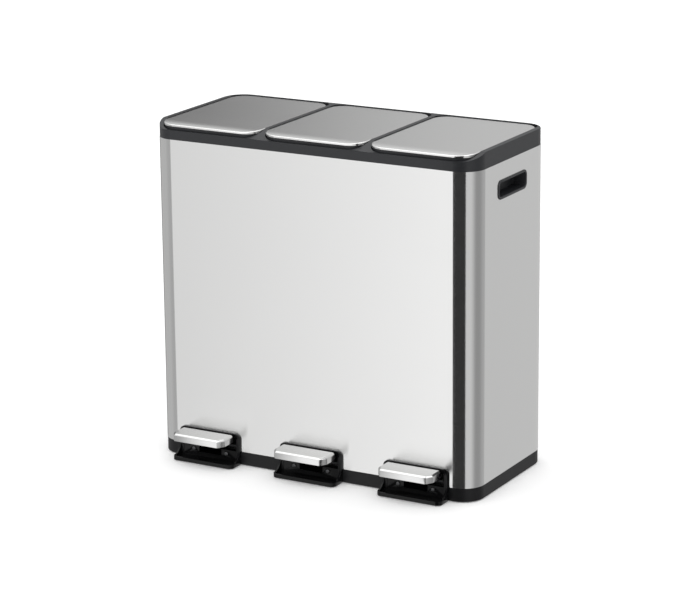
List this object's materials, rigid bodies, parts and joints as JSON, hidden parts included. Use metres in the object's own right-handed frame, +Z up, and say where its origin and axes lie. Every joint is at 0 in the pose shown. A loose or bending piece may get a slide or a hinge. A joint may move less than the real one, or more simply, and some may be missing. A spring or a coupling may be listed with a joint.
{
  "type": "step bin",
  "caption": "Free-standing recycling step bin: stainless cabinet with side-by-side hinged lids, each opened by its own foot pedal, over lift-out inner buckets.",
  "frame": {"origin": "centre of the footprint on the floor, pedals included", "axes": "+Z up, front with the pedals towards -Y, bays side by side along X"},
  "size_m": [0.6024, 0.321, 0.575],
  "materials": {
    "brushed_stainless": "fine horizontal hairline satin stainless",
    "black_moulding": "fine-textured black moulding",
    "gloss_black": "glossy black moulding",
    "grey_liner_plastic": "satin dark grey moulding",
    "black_steel": "black powder coat",
    "plain_steel": "zinc plated, dull",
    "bright_fixings": "bright nickel plate",
    "guide_plastic": "natural acetal",
    "black_rubber": "soft matt rubber"
  },
  "bodies": {
    "cabinet": {"outer_shell": "brushed_stainless", "base_tray": "black_moulding", "top_rim": "black_moulding", "bucket_floor": "black_moulding", "duct_panel": "black_moulding", "left_handle_cup": "gloss_black", "right_handle_cup": "gloss_black", "foot_pads": "black_rubber", "axle_brackets": "plain_steel", "rod_guides": "guide_plastic", "surround_screws": "bright_fixings", "base_screws": "bright_fixings", "rim_screws": "bright_fixings", "pedal_surround_left": "gloss_black", "lever_axle_left": "plain_steel", "lid_hinge_pin_left": "plain_steel", "bucket_left": "grey_liner_plastic", "damper_cylinder_left": "guide_plastic", "pedal_surround_middle": "gloss_black", "lever_axle_middle": "plain_steel", "lid_hinge_pin_middle": "plain_steel", "bucket_middle": "grey_liner_plastic", "damper_cylinder_middle": "guide_plastic", "pedal_surround_right": "gloss_black", "lever_axle_right": "plain_steel", "lid_hinge_pin_right": "plain_steel", "bucket_right": "grey_liner_plastic", "damper_cylinder_right": "guide_plastic"},
    "lid_left": {"lid_skin_left": "brushed_stainless", "lid_frame_left": "black_moulding", "lid_crank_left": "plain_steel", "lid_buffers_left": "black_rubber"},
    "pedal_left": {"pedal_lever_left": "black_steel", "pedal_cap_left": "brushed_stainless", "pedal_carrier_left": "black_moulding", "pedal_fixings_left": "bright_fixings"},
    "rod_left": {"push_rod_left": "plain_steel", "damper_rod_left": "plain_steel"},
    "lid_middle": {"lid_skin_middle": "brushed_stainless", "lid_frame_middle": "black_moulding", "lid_crank_middle": "plain_steel", "lid_buffers_middle": "black_rubber"},
    "pedal_middle": {"pedal_lever_middle": "black_steel", "pedal_cap_middle": "brushed_stainless", "pedal_carrier_middle": "black_moulding", "pedal_fixings_middle": "bright_fixings"},
    "rod_middle": {"push_rod_middle": "plain_steel", "damper_rod_middle": "plain_steel"},
    "lid_right": {"lid_skin_right": "brushed_stainless", "lid_frame_right": "black_moulding", "lid_crank_right": "plain_steel", "lid_buffers_right": "black_rubber"},
    "pedal_right": {"pedal_lever_right": "black_steel", "pedal_cap_right": "brushed_stainless", "pedal_carrier_right": "black_moulding", "pedal_fixings_right": "bright_fixings"},
    "rod_right": {"push_rod_right": "plain_steel", "damper_rod_right": "plain_steel"}
  },
  "joints": [
    {"name": "lid_hinge_left", "type": "hinge", "parent": "cabinet", "child": "lid_left", "pos_m": [-0.196, 0.1445, 0.57], "axis": [-1, 0, 0], "range_deg": [0, 78]},
    {"name": "pedal_pivot_left", "type": "hinge", "parent": "cabinet", "child": "pedal_left", "pos_m": [-0.196, -0.0265, 0.031], "axis": [1, 0, 0], "range_deg": [0, 11.53]},
    {"name": "rod_slide_left", "type": "slide", "parent": "cabinet", "child": "rod_left", "axis": [0, 0, 1], "range_m": [0, 0.03021]},
    {"name": "lid_hinge_middle", "type": "hinge", "parent": "cabinet", "child": "lid_middle", "pos_m": [0, 0.1445, 0.57], "axis": [-1, 0, 0], "range_deg": [0, 78]},
    {"name": "pedal_pivot_middle", "type": "hinge", "parent": "cabinet", "child": "pedal_middle", "pos_m": [0, -0.0265, 0.031], "axis": [1, 0, 0], "range_deg": [0, 11.53]},
    {"name": "rod_slide_middle", "type": "slide", "parent": "cabinet", "child": "rod_middle", "axis": [0, 0, 1], "range_m": [0, 0.03021]},
    {"name": "lid_hinge_right", "type": "hinge", "parent": "cabinet", "child": "lid_right", "pos_m": [0.196, 0.1445, 0.57], "axis": [-1, 0, 0], "range_deg": [0, 78]},
    {"name": "pedal_pivot_right", "type": "hinge", "parent": "cabinet", "child": "pedal_right", "pos_m": [0.196, -0.0265, 0.031], "axis": [1, 0, 0], "range_deg": [0, 11.53]},
    {"name": "rod_slide_right", "type": "slide", "parent": "cabinet", "child": "rod_right", "axis": [0, 0, 1], "range_m": [0, 0.03021]}
  ],
  "couplings": [
    {"joint": "pedal_pivot_left", "follows": "lid_hinge_left", "ratio": 0.14775},
    {"joint": "rod_slide_left", "follows": "lid_hinge_left", "m_per_rad": 0.022189},
    {"joint": "pedal_pivot_middle", "follows": "lid_hinge_middle", "ratio": 0.14775},
    {"joint": "rod_slide_middle", "follows": "lid_hinge_middle", "m_per_rad": 0.022189},
    {"joint": "pedal_pivot_right", "follows": "lid_hinge_right", "ratio": 0.14775},
    {"joint": "rod_slide_right", "follows": "lid_hinge_right", "m_per_rad": 0.022189}
  ]
}
